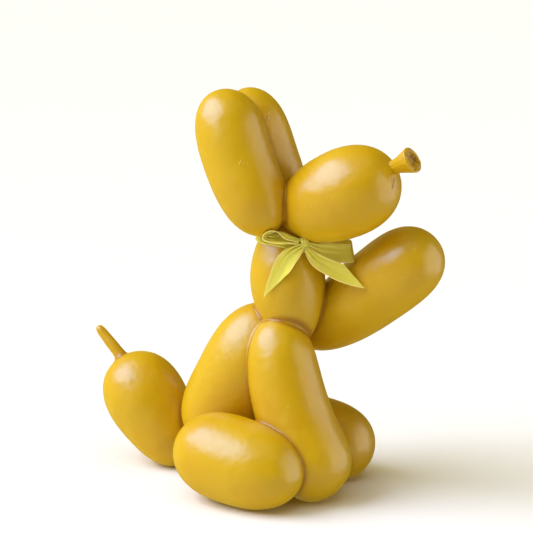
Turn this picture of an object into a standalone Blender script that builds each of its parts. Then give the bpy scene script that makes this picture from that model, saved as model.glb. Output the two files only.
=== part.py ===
# A seated balloon dog, cast in one piece, with a ribbon tied in a bow round its neck.
# It faces +X, its left side is +Y, and it sits on the plane z = 0. Lengths are in metres.

import math

import bmesh
import bpy
import numpy as np
from mathutils import Vector
from mathutils.bvhtree import BVHTree

HEIGHT = 0.235  # from the plane it sits on to the tips of the ears

# The ribbon
RIBBON_WIDTH = 0.015
RIBBON_THICKNESS = 0.0012
COLLAR_WIDTH = 0.006  # the ribbon is bunched up where it goes round the neck
KNOT_WIDTH = 0.0065
LOOP_LENGTH = 0.029
TAIL_LENGTH = 0.036
TAIL_SLANT = 0.011  # how far each edge of a tail's cut lies from the cut's middle, along the tail
COLLAR_GAP = 0.0003  # between the casting and the ribbon round its neck
BOW_GAP = 0.0008  # between the casting and the bow's loops and tails, where they come close
BOW_ANGLE = -34  # degrees round the neck from the nose, towards the dog's right side

# The figure's bubbles, in shares of its height. A bubble runs from start to end, and bend moves its middle
# off the straight line. Its radius follows a superellipse: a fullness of 2 is an ellipse, and more is
# blunter. Swell makes its far end thicker than its near end.
BUBBLES = {
    "snout": {
        "start": (0.110, 0, 0.676), "end": (0.407, 0, 0.812), "bend": (0, 0, 0.003),
        "radius": 0.109, "fullness": 2.25, "swell": 0.10,
    },
    "left_ear": {
        "start": (0.112, 0.074, 0.650), "end": (-0.022, 0.061, 0.994), "bend": (-0.021, 0, -0.005),
        "radius": 0.087, "fullness": 2.8, "swell": 0.06,
    },
    "right_ear": {
        "start": (0.120, -0.074, 0.659), "end": (-0.024, -0.061, 1.001), "bend": (-0.026, 0, -0.006),
        "radius": 0.087, "fullness": 3.6, "swell": 0.02,
    },
    "neck": {
        "start": (0.147, 0, 0.358), "end": (0.122, 0, 0.688), "bend": (-0.012, 0, 0),
        "radius": 0.094, "fullness": 1.7, "swell": 0.02,
    },
    "body": {
        "start": (-0.100, 0, 0.058), "end": (0.069, 0, 0.457), "bend": (0.015, 0, 0),
        "radius": 0.125, "fullness": 3.0, "swell": -0.15,
    },
    "tail": {
        "start": (-0.157, 0, 0.029), "end": (-0.360, 0, 0.278), "bend": (0.015, 0, -0.041),
        "radius": 0.097, "fullness": 3.1, "swell": 0.30,
    },
    "left_hind_leg": {
        "start": (-0.095, 0.125, 0.130), "end": (0.314, 0.090, 0.078), "bend": (0, 0, 0),
        "radius": 0.101, "fullness": 3.1, "swell": 0.14,
    },
    "right_hind_leg": {
        "start": (-0.090, -0.178, 0.126), "end": (0.255, -0.216, 0.084), "bend": (0, 0, 0),
        "radius": 0.108, "fullness": 2.6, "swell": -0.05,
    },
    "standing_foreleg": {
        "start": (0.120, -0.050, 0.443), "end": (0.293, -0.096, 0.022), "bend": (-0.034, 0, -0.025),
        "radius": 0.095, "fullness": 4.8, "swell": 0.10,
    },
    "raised_foreleg": {
        "start": (0.105, 0.122, 0.343), "end": (0.478, 0.070, 0.637), "bend": (0.033, 0, 0.022),
        "radius": 0.096, "fullness": 3.0, "swell": 0.06,
    },
}
BUBBLE_SIDES = 24
BUBBLE_RINGS = 16

# The pinched end of the balloon behind the tail, and its tied mouth in front of the snout
TAIL_TIP = {
    "start": (-0.349, 0, 0.260), "end": (-0.435, 0, 0.351), "bend": (0, 0, 0),
    "radius": 0.0148, "fullness": 10.0, "swell": -0.24,
}
NOZZLE_START = (0.382, 0.004, 0.818)
NOZZLE_TURN = -7  # degrees round from straight ahead, towards the dog's right side
STEM_TILT = 23  # degrees above level
MOUTH_TILT = 29  # the mouth opens upwards a little more than the stem
NOZZLE_PROFILE = (  # distance along the nozzle, and radius there; the last points are inside its mouth
    (0.000, 0.015), (0.012, 0.017), (0.028, 0.018), (0.042, 0.021), (0.058, 0.027), (0.071, 0.032),
    (0.076, 0.031), (0.074, 0.026), (0.067, 0.013),
)
SMALL_SIDES = 14
SMALL_RINGS = 8

UPPER_NECK = (0.58, 0.67)  # where the crease under the head is looked for, in shares of the height
CREASE_STEPS = 60
COLLAR_SECTIONS = 36
COLLAR_EVENING = 3  # sections to each side over which the ribbon's height round the neck is evened out

# The bow's strips, from the knot. The first three numbers of each point are to its right, up and outwards, in
# shares of the loop's or tail's length. The next three are the direction across the ribbon, and the last is
# the share of the ribbon's width that is spread out there.
RIGHT_LOOP = (
    (0.00, 0.02, -0.06, 0, 1.0, 0.00, 0.28),
    (0.30, -0.02, -0.05, 0, 1.0, 0.15, 0.50),
    (0.75, -0.08, -0.05, 0, 1.0, 0.10, 0.80),
    (1.00, -0.18, 0.06, 0, 1.0, 0.00, 0.85),
    (0.78, -0.12, 0.19, 0, 1.0, -0.10, 0.85),
    (0.32, -0.05, 0.15, 0, 1.0, -0.20, 0.60),
    (0.00, -0.01, 0.06, 0, 1.0, 0.00, 0.28),
)
LEFT_LOOP = (
    (0.00, 0.05, -0.04, 0, 0.9, 0.50, 0.25),
    (-0.32, 0.20, -0.01, 0, 0.5, 0.85, 0.50),
    (-0.70, 0.25, 0.05, 0, 0.3, 0.95, 0.65),
    (-0.92, 0.12, 0.08, 0, 0.0, 1.00, 0.70),
    (-0.70, 0.01, 0.12, 0, -0.2, 1.00, 0.65),
    (-0.32, -0.04, 0.13, 0, -0.3, 0.95, 0.50),
    (0.00, -0.03, 0.08, 0, -0.9, 0.50, 0.25),
)
RIGHT_TAIL = (
    (0.00, -0.01, 0.00, 0.4, 1.0, 0.0, 0.28),
    (0.21, -0.18, 0.18, 0.4, 1.0, 0.1, 0.60),
    (0.46, -0.32, 0.34, 0.4, 1.0, 0.2, 0.80),
    (0.71, -0.43, 0.45, 0.4, 1.0, 0.2, 0.72),
)
LEFT_TAIL = (
    (0.00, -0.01, 0.05, -0.8, 0.6, 0.3, 0.28),
    (-0.20, -0.19, 0.07, -0.8, 0.5, 0.35, 0.62),
    (-0.36, -0.41, 0.08, -0.8, 0.5, 0.35, 0.80),
    (-0.50, -0.62, 0.06, -0.8, 0.5, 0.35, 0.80),
)
LOOP_STEPS = 18
TAIL_STEPS = 9
STRIP_COLUMNS = 4
CURVE_STEPS = 12  # between two points of a strip's route, when its length is measured
KNOT_TALLNESS = 1.24  # the knot's height for its width
KNOT_FULLNESS = 0.7  # 1 would be an ellipse, and less is blunter
CLEARING_STEPS = 4

WELD_DISTANCE = 0.00003
SHARP_ANGLE = 40  # degrees between faces from which an edge shows
PAINT_COLOUR = (0.80, 0.48, 0.03)
PAINT_ROUGHNESS = 0.38
RIBBON_COLOUR = (0.72, 0.68, 0.09)
RIBBON_ROUGHNESS = 0.75


def empty_scene():
    for item in list(bpy.data.objects):
        bpy.data.objects.remove(item, do_unlink=True)


def material(name, colour, roughness):
    made = bpy.data.materials.new(name)
    made.use_nodes = True
    shader = made.node_tree.nodes["Principled BSDF"]
    shader.inputs["Base Color"].default_value = (*colour, 1)
    shader.inputs["Roughness"].default_value = roughness
    return made


def add_mesh(name, points, faces):
    mesh = bpy.data.meshes.new(name)
    mesh.from_pydata([tuple(map(float, point)) for point in points], [], faces)
    tidy = bmesh.new()
    tidy.from_mesh(mesh)
    bmesh.ops.recalc_face_normals(tidy, faces=tidy.faces)
    tidy.to_mesh(mesh)
    tidy.free()
    made = bpy.data.objects.new(name, mesh)
    bpy.context.scene.collection.objects.link(made)
    return made


def rings_to_solid(name, rings, first_point, last_point):
    """A closed mesh through rings of points, drawn together to one point at each end."""
    count = len(rings)
    sides = len(rings[0])
    points = [first_point, *[point for ring in rings for point in ring], last_point]
    faces = []
    for side in range(sides):
        following = (side + 1) % sides
        faces.append((0, 1 + following, 1 + side))
        for ring in range(count - 1):
            low = 1 + ring * sides
            high = low + sides
            faces.append((low + side, low + following, high + following, high + side))
        last_ring = 1 + (count - 1) * sides
        faces.append((len(points) - 1, last_ring + side, last_ring + following))
    return add_mesh(name, points, faces)


def ring_round(centre, direction, radius, sides):
    """Points on a circle about centre, square to direction."""
    across = np.cross(direction, (0, 1, 0))
    across = across / np.linalg.norm(across)
    beside = np.cross(across, direction)
    turns = (np.arange(sides) + 0.5) / sides * 2 * math.pi
    return centre + radius * (np.outer(np.cos(turns), across) + np.outer(np.sin(turns), beside))


def bubble(name, shape, sides=BUBBLE_SIDES, ring_count=BUBBLE_RINGS):
    start, end, bend = (np.array(shape[key]) * HEIGHT for key in ("start", "end", "bend"))
    rings = []
    for turn in np.linspace(0, math.pi, ring_count + 1)[1:-1]:
        along = (1 - math.cos(turn)) / 2
        from_middle = 2 * along - 1
        centre = start + (end - start) * along + bend * 4 * along * (1 - along)
        direction = end - start - bend * 4 * from_middle
        direction = direction / np.linalg.norm(direction)
        radius = shape["radius"] * HEIGHT * math.sqrt(1 - abs(from_middle) ** shape["fullness"])
        radius *= 1 + shape["swell"] * from_middle
        rings.append(ring_round(centre, direction, radius, sides))
    return rings_to_solid(name, rings, start, end)


def nozzle_direction(tilt):
    turn, rise = math.radians(NOZZLE_TURN), math.radians(tilt)
    return np.array((math.cos(turn) * math.cos(rise), math.sin(turn) * math.cos(rise), math.sin(rise)))


def nozzle():
    ahead = nozzle_direction(STEM_TILT)
    start = np.array(NOZZLE_START) * HEIGHT
    longest = max(distance for distance, _ in NOZZLE_PROFILE)
    rings = []
    for distance, radius in NOZZLE_PROFILE:
        facing = nozzle_direction(STEM_TILT + (MOUTH_TILT - STEM_TILT) * distance / longest)
        rings.append(ring_round(start + ahead * distance * HEIGHT, facing, radius * HEIGHT, SMALL_SIDES))
    bottom_of_mouth = start + ahead * NOZZLE_PROFILE[-1][0] * HEIGHT
    return rings_to_solid("nozzle", rings, start, bottom_of_mouth)


def block_below(height):
    """A block whose top face is at the given height, wider than the figure."""
    points = [
        (x * HEIGHT, y * HEIGHT, z) for x in (-1, 1) for y in (-1, 1) for z in (height - HEIGHT, height)
    ]
    faces = [(0, 1, 3, 2), (4, 6, 7, 5), (0, 4, 5, 1), (2, 3, 7, 6), (0, 2, 6, 4), (1, 5, 7, 3)]
    return add_mesh("below", points, faces)


def combine(base, others, operation):
    """Joins the other solids to the base solid, or takes them from it, and deletes them."""
    for other in others:
        modifier = base.modifiers.new(other.name, "BOOLEAN")
        modifier.operation = operation
        modifier.solver = "EXACT"
        modifier.object = other
    bpy.context.view_layer.update()
    graph = bpy.context.evaluated_depsgraph_get()
    joined = bpy.data.meshes.new_from_object(base.evaluated_get(graph))
    base.modifiers.clear()
    base.data = joined
    for other in others:
        bpy.data.objects.remove(other, do_unlink=True)


def weld(item):
    """Takes away edges that are too short to matter."""
    tidy = bmesh.new()
    tidy.from_mesh(item.data)
    bmesh.ops.remove_doubles(tidy, verts=tidy.verts, dist=WELD_DISTANCE)
    bmesh.ops.dissolve_degenerate(tidy, edges=tidy.edges, dist=WELD_DISTANCE)
    bmesh.ops.triangulate(tidy, faces=tidy.faces)
    tidy.to_mesh(item.data)
    tidy.free()


def casting():
    """The dog: all its bubbles joined in one solid, flat where it sits."""
    bubbles = []
    for name, shape in BUBBLES.items():
        bubbles.append(bubble(name, shape))
    bubbles.append(bubble("tail_tip", TAIL_TIP, sides=SMALL_SIDES, ring_count=SMALL_RINGS))
    bubbles.append(nozzle())
    dog = bubbles[0]
    combine(dog, bubbles[1:], "UNION")
    combine(dog, [block_below(0)], "DIFFERENCE")
    weld(dog)
    dog.name = "balloon_dog"
    return dog


def surface_of(item):
    mesh = item.data
    return BVHTree.FromPolygons([v.co for v in mesh.vertices], [tuple(p.vertices) for p in mesh.polygons])


def neck_centre(height):
    """The point of the neck's centre line at a height."""
    start, end, bend = (np.array(BUBBLES["neck"][key]) * HEIGHT for key in ("start", "end", "bend"))
    along = (height - start[2]) / (end[2] - start[2])
    centre = start + (end - start) * along + bend * 4 * along * (1 - along)
    centre[2] = height
    return centre


def neck_surface(surface, height, turn):
    """How far the casting reaches from the neck's centre line, in the direction turn."""
    direction = Vector((math.cos(turn), math.sin(turn), 0))
    return surface.ray_cast(Vector(neck_centre(height)), direction)[3]


def crease_under_head(surface, turn):
    """The height where the neck is thinnest in the direction turn, just below the head's bubbles."""
    levels = np.linspace(*UPPER_NECK, CREASE_STEPS) * HEIGHT
    return levels[np.argmin([neck_surface(surface, level, turn) for level in levels])]


def collar_middles(surface):
    """The height of the ribbon's middle at each section round the neck, as even as the head allows."""
    turns = np.arange(COLLAR_SECTIONS) / COLLAR_SECTIONS * 2 * math.pi
    creases = np.array([crease_under_head(surface, turn) for turn in turns])
    shifts = range(-COLLAR_EVENING, COLLAR_EVENING + 1)
    lowest_near = np.min([np.roll(creases, shift) for shift in shifts], axis=0)
    even = np.mean([np.roll(lowest_near, shift) for shift in shifts], axis=0)
    return turns, even - COLLAR_GAP - COLLAR_WIDTH / 2


def collar(surface):
    """The ribbon round the neck, tucked up under the head, which follows the casting all the way round."""
    points = []
    for turn, middle in zip(*collar_middles(surface)):
        direction = np.array((math.cos(turn), math.sin(turn), 0))
        levels = (middle - COLLAR_WIDTH / 2, middle, middle + COLLAR_WIDTH / 2)
        reach = [neck_surface(surface, level, turn) + COLLAR_GAP for level in levels]
        inside = [neck_centre(level) + direction * at for level, at in zip(levels, reach)]
        outside = [point + direction * RIBBON_THICKNESS for point in inside]
        points += [clear_of(surface, point, COLLAR_GAP) for point in inside + outside[::-1]]
    loop_size = 6
    faces = []
    for section in range(COLLAR_SECTIONS):
        here = section * loop_size
        there = (section + 1) % COLLAR_SECTIONS * loop_size
        for corner in range(loop_size):
            following = (corner + 1) % loop_size
            faces.append((here + corner, here + following, there + following, there + corner))
    return add_mesh("collar", points, faces)


def bow_frame(surface):
    """The knot's centre, and the directions to the bow's right, up and outwards."""
    turn = math.radians(BOW_ANGLE)
    turns, middles = collar_middles(surface)
    height = np.interp(turn % (2 * math.pi), turns, middles)
    outwards = np.array((math.cos(turn), math.sin(turn), 0))
    right = np.array((-math.sin(turn), math.cos(turn), 0))
    reach = neck_surface(surface, height, turn) + COLLAR_GAP + KNOT_WIDTH / 2
    return neck_centre(height) + outwards * reach, np.array((right, (0, 0, 1), outwards))


def smooth_values(points, count):
    """Rows read at even steps along a smooth curve through the given rows."""
    rows = np.array(points, float)
    padded = np.vstack((2 * rows[0] - rows[1], rows, 2 * rows[-1] - rows[-2]))
    fine = []
    for index in range(1, len(padded) - 2):
        before, first, second, after = padded[index - 1:index + 3]
        for share in np.linspace(0, 1, CURVE_STEPS, endpoint=False):
            fine.append(0.5 * (
                2 * first + (second - before) * share
                + (2 * before - 5 * first + 4 * second - after) * share ** 2
                + (3 * first - before - 3 * second + after) * share ** 3
            ))
    fine = np.array([*fine, rows[-1]])
    lengths = np.concatenate(([0], np.cumsum(np.linalg.norm(np.diff(fine[:, :3], axis=0), axis=1))))
    at = np.linspace(0, lengths[-1], count + 1)
    return np.array([np.interp(at, lengths, column) for column in fine.T]).T


def clear_of(surface, point, gap):
    """The point, moved out of the casting if it is less than the gap away from it."""
    for _ in range(CLEARING_STEPS):
        near, normal, _, distance = surface.find_nearest(Vector(point))
        if distance >= gap and (Vector(point) - near).dot(normal) > 0:
            break
        point = np.array(near + normal * (gap + WELD_DISTANCE))
    return point


def strip(name, points, steps, length, slant, knot, axes, surface):
    """A closed band of ribbon along a smooth route from the knot."""
    rows = smooth_values(points, steps)
    route = rows[:, :3] * length
    ahead = np.gradient(route, axis=0)
    ahead = ahead / np.linalg.norm(ahead, axis=1)[:, None]
    across = rows[:, 3:6] / np.linalg.norm(rows[:, 3:6], axis=1)[:, None]
    middle = []
    for step in range(steps + 1):
        for column in np.linspace(-1, 1, STRIP_COLUMNS + 1):
            spread = across[step] * column * rows[step, 6] * RIBBON_WIDTH / 2
            cut = ahead[step] * column * slant * (step / steps) ** 2
            at = knot + (route[step] + spread + cut) @ axes
            middle.append(clear_of(surface, at, BOW_GAP + RIBBON_THICKNESS / 2))
    middle = np.array(middle).reshape(steps + 1, STRIP_COLUMNS + 1, 3)
    normals = np.cross(np.gradient(middle, axis=0), np.gradient(middle, axis=1))
    normals = normals / np.linalg.norm(normals, axis=2)[..., None]
    front = middle + normals * RIBBON_THICKNESS / 2
    back = middle - normals * RIBBON_THICKNESS / 2
    around = np.concatenate((front, back[:, ::-1]), axis=1)
    loop_size = around.shape[1]
    faces = [tuple(range(loop_size)), tuple(range(steps * loop_size, (steps + 1) * loop_size))]
    for step in range(steps):
        for corner in range(loop_size):
            following = (corner + 1) % loop_size
            here, there = step * loop_size, (step + 1) * loop_size
            faces.append((here + corner, here + following, there + following, there + corner))
    return add_mesh(name, around.reshape(-1, 3), faces)


def knot_solid(knot, axes, surface):
    """The small wrapped knot: a rounded lump, a little taller than it is wide."""
    rings = []
    for turn in np.linspace(0, math.pi, SMALL_RINGS + 1)[1:-1]:
        height = -math.cos(turn) * KNOT_WIDTH / 2 * KNOT_TALLNESS
        radius = math.sin(turn) ** KNOT_FULLNESS * KNOT_WIDTH / 2
        turns = np.arange(SMALL_SIDES) / SMALL_SIDES * 2 * math.pi
        ring = np.array([np.cos(turns), np.full(SMALL_SIDES, height / radius), np.sin(turns)]).T * radius
        rings.append(np.array([clear_of(surface, point, COLLAR_GAP) for point in knot + ring @ axes]))
    top = knot + np.array((0, KNOT_WIDTH / 2 * KNOT_TALLNESS, 0)) @ axes
    return rings_to_solid("knot", rings, 2 * knot - top, top)


def ribbon(dog):
    """The ribbon: round the neck, the knot, two loops and two tails, in one solid."""
    surface = surface_of(dog)
    knot, axes = bow_frame(surface)
    place = {"knot": knot, "axes": axes, "surface": surface}
    tied = collar(surface)
    pieces = [
        knot_solid(**place),
        strip("right_loop", RIGHT_LOOP, LOOP_STEPS, LOOP_LENGTH, 0, **place),
        strip("left_loop", LEFT_LOOP, LOOP_STEPS, LOOP_LENGTH, 0, **place),
        strip("right_tail", RIGHT_TAIL, TAIL_STEPS, TAIL_LENGTH, -TAIL_SLANT, **place),
        strip("left_tail", LEFT_TAIL, TAIL_STEPS, TAIL_LENGTH, TAIL_SLANT, **place),
    ]
    combine(tied, pieces, "UNION")
    weld(tied)
    tied.name = "ribbon"
    return tied


def finish(item, look):
    item.data.name = item.name
    item.data.materials.clear()
    item.data.materials.append(look)
    item.data.shade_smooth()
    item.data.set_sharp_from_angle(angle=math.radians(SHARP_ANGLE))


def stand_at_origin(items):
    """Parents the pieces to an empty, placed so that the middle of their box is over the origin."""
    stand = bpy.data.objects.new("stand_point", None)
    bpy.context.scene.collection.objects.link(stand)
    points = np.array([vertex.co for item in items for vertex in item.data.vertices])
    middle = (points.min(axis=0) + points.max(axis=0)) / 2
    stand.location = (-middle[0], -middle[1], 0)
    for item in items:
        item.parent = stand


def main():
    empty_scene()
    dog = casting()
    tied = ribbon(dog)
    finish(dog, material("yellow_paint", PAINT_COLOUR, PAINT_ROUGHNESS))
    finish(tied, material("lemon_ribbon", RIBBON_COLOUR, RIBBON_ROUGHNESS))
    stand_at_origin([dog, tied])


main()
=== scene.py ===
# A seated balloon dog, cast in one piece and painted satin yellow, with a lemon ribbon round its neck.
# Metres. It faces +X, its left side is +Y, and it sits on the floor at z = 0.

import math

import bmesh
import bpy
import numpy as np
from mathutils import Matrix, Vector
from mathutils.bvhtree import BVHTree


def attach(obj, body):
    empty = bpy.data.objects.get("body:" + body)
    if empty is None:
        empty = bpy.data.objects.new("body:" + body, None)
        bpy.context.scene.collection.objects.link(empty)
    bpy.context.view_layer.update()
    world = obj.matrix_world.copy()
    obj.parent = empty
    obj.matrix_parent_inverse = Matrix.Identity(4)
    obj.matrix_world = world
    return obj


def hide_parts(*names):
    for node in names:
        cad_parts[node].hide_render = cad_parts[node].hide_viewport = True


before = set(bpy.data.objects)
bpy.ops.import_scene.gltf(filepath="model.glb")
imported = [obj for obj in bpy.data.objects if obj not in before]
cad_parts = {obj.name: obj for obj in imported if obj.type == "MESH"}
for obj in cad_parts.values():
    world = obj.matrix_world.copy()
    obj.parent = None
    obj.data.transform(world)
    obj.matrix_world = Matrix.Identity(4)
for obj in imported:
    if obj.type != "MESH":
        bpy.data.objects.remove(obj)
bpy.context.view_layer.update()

print("frame loaded")

viewer = {
    "angles": (26, 11.3),  # azimuth and elevation in degrees
    "distance": 1.0,
    "target": (0.0078, 0.0115, 0.1304),
    "focalPixels": 1700,
    "framePixels": 533,
    "sensorWidth": 36,
    "clipStart": 0.01,
}


# The figure. Each bubble has its start, end and bend, its radius, how full it is towards its ends and
# how much it swells towards its end. The lengths are shares of the figure's height

figure = {
    "height": 0.235,
    "sides": 96,
    "rings": 84,
    "poleGap": 0.000004,  # points closer than this become one, which closes a bubble's ends
    "origin": (-0.00708, 0.01148, 0),  # where the figure's own middle stands in the frame
    "voxel": 0.0006,  # the grid on which the bubbles are fused
    "quickVoxel": 2.2,
    "straightening": 4,  # rounds that take a bubble's bend out when a distance to it is measured
    "profileSteps": 40,  # steps along its profile for that
    "softening": (0.5, 4),  # factor and rounds of the smoothing that fills the creases a little
    "triangles": 180000,
    "creaseShadeReach": 0.0016,  # how far the painted shade of a crease runs out on each side
    "creaseWidth": (0.0015, 0.0035),  # between these distances the skin goes back to the bubble's own
    "tailFlare": ((-0.378, -0.006, 0.272), 0.040),  # where the rod flows into the tail, and its reach
    "flareSoftening": (0.8, 60),  # factor and rounds of the smoothing there
    "flareFade": (0.9, 1.2),  # between these shares of the reach the skin goes back to the bubble's own
}

bubbles = {
    "snout": ((0.110, 0, 0.676), (0.407, 0, 0.812), (0, 0, 0.003), 0.109, 2.25, 0.10),
    "leftEar": ((0.112, 0.074, 0.650), (-0.022, 0.061, 0.994), (-0.021, 0, -0.005), 0.087, 2.8, 0.06),
    "rightEar": ((0.120, -0.074, 0.659), (-0.024, -0.061, 1.001), (-0.026, 0, -0.006), 0.087, 3.6, 0.02),
    "neck": ((0.147, 0, 0.358), (0.122, 0, 0.688), (-0.012, 0, 0), 0.094, 1.7, 0.02),
    "body": ((-0.100, 0, 0.058), (0.069, 0, 0.457), (0.015, 0, 0), 0.125, 3.0, -0.15),
    "tail": ((-0.157, 0, 0.029), (-0.360, 0, 0.278), (0.015, 0, -0.041), 0.097, 3.1, 0.30),
    "leftHindLeg": ((-0.095, 0.125, 0.130), (0.314, 0.090, 0.078), (0, 0, 0), 0.101, 3.1, 0.14),
    "rightHindLeg": ((-0.090, -0.178, 0.126), (0.255, -0.216, 0.084), (0, 0, 0), 0.108, 2.6, -0.05),
    "standingForeleg": (
        (0.120, -0.050, 0.443), (0.293, -0.096, 0.022), (-0.034, 0, -0.025), 0.095, 4.8, 0.10,
    ),
    "raisedForeleg": ((0.105, 0.122, 0.343), (0.478, 0.070, 0.637), (0.033, 0, 0.022), 0.096, 3.0, 0.06),
    "tailTip": ((-0.349, 0, 0.260), (-0.435, 0, 0.351), (0, 0, 0), 0.0148, 10.0, -0.24),
}


# Node helpers

def newTree(name, inputs):
    tree = bpy.data.node_groups.new(name, "GeometryNodeTree")
    tree.interface.new_socket("Geometry", in_out="INPUT", socket_type="NodeSocketGeometry")
    for label, kind in inputs:
        tree.interface.new_socket(label, in_out="INPUT", socket_type="NodeSocket" + kind)
    tree.interface.new_socket("Geometry", in_out="OUTPUT", socket_type="NodeSocketGeometry")
    return tree, tree.nodes.new("NodeGroupInput").outputs, tree.nodes.new("NodeGroupOutput").inputs


def plug(tree, value, socket):
    if isinstance(value, bpy.types.NodeSocket):
        tree.links.new(value, socket)
    else:
        socket.default_value = value


def addNode(tree, kind, values=None, **settings):
    node = tree.nodes.new(kind)
    for key, value in settings.items():
        setattr(node, key, value)
    for key, value in (values or {}).items():
        plug(tree, value, node.inputs[key])
    return node


def calc(tree, operation, *values):
    node = addNode(tree, "ShaderNodeMath", dict(enumerate(values)), operation=operation)
    return node.outputs[0]


def vectorCalc(tree, operation, *values):
    node = addNode(tree, "ShaderNodeVectorMath", dict(enumerate(values)), operation=operation)
    return node.outputs[0]


def dotProduct(tree, first, second):
    node = addNode(tree, "ShaderNodeVectorMath", {0: first, 1: second}, operation="DOT_PRODUCT")
    return node.outputs["Value"]


def scaled(tree, vector, factor):
    node = addNode(tree, "ShaderNodeVectorMath", {0: vector, "Scale": factor}, operation="SCALE")
    return node.outputs[0]


def endTree(tree, shape, look, result):
    real = addNode(tree, "GeometryNodeRealizeInstances", {0: shape})
    painted = addNode(tree, "GeometryNodeSetMaterial", {"Geometry": real.outputs[0], "Material": look})
    tree.links.new(painted.outputs[0], result[0])


def newObject(name, data):
    item = bpy.data.objects.new(name, data)
    bpy.context.scene.collection.objects.link(item)
    return item


def newMesh(name, places, edges, faces):
    mesh = bpy.data.meshes.new(name)
    mesh.from_pydata([tuple(map(float, place)) for place in places], edges, faces)
    return mesh


def triangleCount(item):
    return sum(len(face.vertices) - 2 for face in item.data.polygons)


def runTree(item, tree, values):
    modifier = item.modifiers.new(tree.name, "NODES")
    modifier.node_group = tree
    for socket in tree.interface.items_tree:
        if socket.in_out == "INPUT" and socket.name in values:
            modifier[socket.identifier] = values[socket.name]
    settle(item)


def settle(item):
    bpy.context.view_layer.update()
    finished = item.evaluated_get(bpy.context.evaluated_depsgraph_get())
    shape = bpy.data.meshes.new_from_object(finished)
    item.modifiers.clear()
    item.data = shape
    shape.name = item.name


# Materials

paint = {
    "bright": (0.625, 0.386, 0.003),
    "deep": (0.59, 0.338, 0.001),
    # painted shade: the darker, more orange colour the paint turns towards in creases and in the tied mouth
    "crease": (0.34, 0.13, 0.003),
    # the pale specks and the ears' pale scratches, and painted highlights on the dent's edge and in the
    # mouth
    "pale": (0.80, 0.60, 0.20),
    # the ears' dark scratches, and painted shade in the dent and in the mouth's crumples
    "mark": (0.24, 0.13, 0.010),
    "creaseShadeStrength": 0.8,
    "clouds": (24, 0.35, 0.65),  # broad changes of tone: scale, where they start and are full
    "specks": (420, 0.735, 0.80, 0.28),  # pale specks: scale, where they start and are full, strength
    "waves": (85, 0.0009),  # the gentle unevenness of the casting: scale, depth
    "grain": (1500, 0.00002),  # scale, depth
    "roughness": (0.30, 0.36),
    "glossScale": 60,
    "coat": (0.15, 0.25),  # weight, roughness
}

cloth = {
    "bright": (0.86, 0.80, 0.16),
    "deep": (0.84, 0.73, 0.08),
    "threadsPerMetre": 2600,
    "weaveShare": 0.5,  # of the relief, against the streaks
    "streaks": (900, 60, 1),  # how fine they are across and along the ribbon
    "relief": 0.00008,
    "roughness": 0.62,
    "gloss": 0.25,
    "sheen": (0.1, 0.4),  # weight, roughness
    "glow": (0.4, (1.0, 0.85, 0.2), 0.0012),  # light that spreads in the cloth: weight, radius, scale
}

thread = {
    "colour": (1.0, 0.82, 0.26),
    "fibres": (2400, 0.2, 0.5),  # scale, where they start and are full
    "relief": 0.00006,
    "roughness": 0.7,
    "gloss": 0.15,
    "sheen": (0.5, 0.5),
}

noiseSpread = (0.3, 0.7)  # where most of a noise's values lie


def newMaterial(name):
    made = bpy.data.materials.new(name)
    made.use_nodes = True
    return made, made.node_tree, made.node_tree.nodes["Principled BSDF"].inputs


def setShader(shader, values):
    for name, value in values.items():
        shader[name].default_value = value


def noise(tree, where, scale, detail=2.0, roughness=0.5):
    values = {"Vector": where, "Scale": scale, "Detail": detail, "Roughness": roughness}
    return addNode(tree, "ShaderNodeTexNoise", values).outputs[0]


def mixColour(tree, share, first, second):
    node = addNode(tree, "ShaderNodeMix", {0: share}, data_type="RGBA")
    plug(tree, (*first, 1) if isinstance(first, tuple) else first, node.inputs[6])
    plug(tree, (*second, 1) if isinstance(second, tuple) else second, node.inputs[7])
    return node.outputs[2]


def stretch(tree, value, low, high, toLow=0.0, toHigh=1.0):
    values = {"Value": value, "From Min": low, "From Max": high, "To Min": toLow, "To Max": toHigh}
    return addNode(tree, "ShaderNodeMapRange", values).outputs[0]


def bump(tree, height, depth, before=None):
    node = addNode(tree, "ShaderNodeBump", {"Height": height, "Distance": depth})
    if before:
        tree.links.new(before, node.inputs["Normal"])
    return node.outputs[0]


marking = {
    "raggedScale": 900,
    "raggedness": 0.0012,  # how far the edge of a mark strays
    "core": 0.3,  # the share of its radius that is fully marked
}

marks = (
    # small marks on the skin: where they start and end in the viewer's picture, in pixels, radius in
    # metres, how dark, or pale if negative, and how deep in metres, or raised if negative
    # a dent under the tied mouth: a real hollow, its dark line painted shade, its pale raised edge a
    # painted highlight
    ((394.6, 178.8), (392.6, 187.0), 0.0009, 0.62, 0.00030),
    ((392.2, 179.0), (391.6, 182.0), 0.0006, 0.35, 0.00015),
    ((396.9, 180.5), (395.4, 189.0), 0.0006, -0.35, -0.00015),
    # scratches on the ears
    ((268.6, 113.6), (270.6, 111.4), 0.0006, -0.45, -0.0002),
    ((268.0, 119.0), (269.6, 116.6), 0.0006, -0.40, -0.0002),
    ((267.2, 116.0), (266.2, 119.5), 0.0007, 0.35, 0.0002),
    ((239.6, 163.6), (241.6, 160.2), 0.0005, -0.16, -0.00008),
    ((241.8, 164.8), (243.4, 161.8), 0.0005, 0.16, 0.00010),
    # in the tied mouth: dark strokes are painted shade in its crumples, pale raised ones painted highlights
    # on them
    ((407.6, 155.2), (410.4, 152.2), 0.0005, 0.60, 0.00020),
    ((409.6, 158.6), (412.8, 154.6), 0.0005, 0.70, 0.00020),
    ((412.6, 164.0), (415.0, 158.4), 0.0012, 0.55, 0.00040),
    ((408.0, 153.4), (408.6, 157.6), 0.0004, -0.45, -0.00010),
    ((412.2, 159.6), (413.8, 156.8), 0.0004, -0.45, -0.00010),
)


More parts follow.
